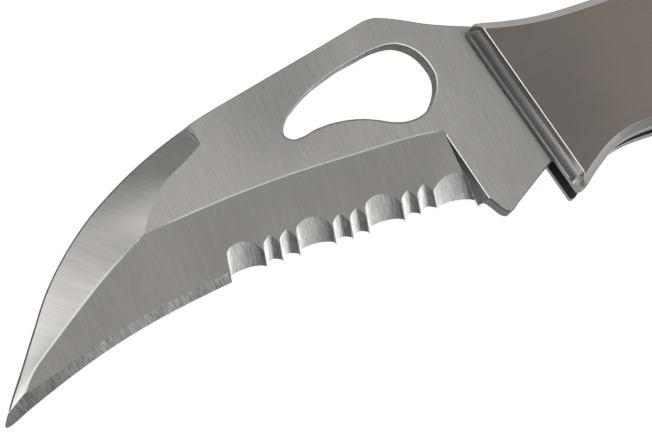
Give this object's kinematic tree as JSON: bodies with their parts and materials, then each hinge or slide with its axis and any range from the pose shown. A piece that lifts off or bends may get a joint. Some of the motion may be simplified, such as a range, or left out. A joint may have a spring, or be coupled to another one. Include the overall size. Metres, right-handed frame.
{
  "type": "rigging knife",
  "caption": "Folding hawkbill rigging knife with a part-serrated blade, a thumb opening for opening it with one hand, a plain steel slab handle, a back lock and a lanyard hole.",
  "frame": {"origin": "centre of the lanyard hole, on the middle plane between the two handle slabs", "axes": "+X along the handle from the blade towards the butt, +Y towards the handle's back and the blade's spine, +Z out of the mark side, along the blade pivot and the lanyard hole"},
  "size_m": [0.2017, 0.0367, 0.0104],
  "materials": {
    "blade_steel": "brushed stainless steel, grain across the blade",
    "handle_steel": "fine satin stainless steel",
    "pin_steel": "ground flush with the slabs",
    "bushing_steel": "hardened and ground",
    "washer_bronze": "phosphor bronze, smooth",
    "lever_steel": "satin stainless steel",
    "spring_steel": "tempered spring steel",
    "spacer_steel": "satin stainless steel",
    "tube_steel": "bright drawn tube"
  },
  "bodies": {
    "handle": {"mark_side_slab": "handle_steel", "pile_side_slab": "handle_steel", "pivot_pin": "pin_steel", "pivot_bushing": "bushing_steel", "mark_side_washer": "washer_bronze", "pile_side_washer": "washer_bronze", "lever_pin": "pin_steel", "lock_spring": "spring_steel", "back_spacer": "spacer_steel", "spacer_pins": "pin_steel", "lanyard_tube": "tube_steel"},
    "blade": {"blade": "blade_steel"},
    "lock_lever": {"lock_lever": "lever_steel"}
  },
  "joints": [
    {"name": "blade_pivot", "type": "hinge", "parent": "handle", "child": "blade", "pos_m": [-0.1015, 0.0005, 0], "axis": [0, 0, 1], "range_deg": [0, 175]},
    {"name": "lever_rock", "type": "hinge", "parent": "handle", "child": "lock_lever", "pos_m": [-0.0695, 0.0111, 0], "axis": [0, 0, 1], "range_deg": [0, 2.2], "stiffness_Nm_per_rad": 0.05, "springref_deg": 6.88, "deforming": ["lock_spring"]}
  ]
}
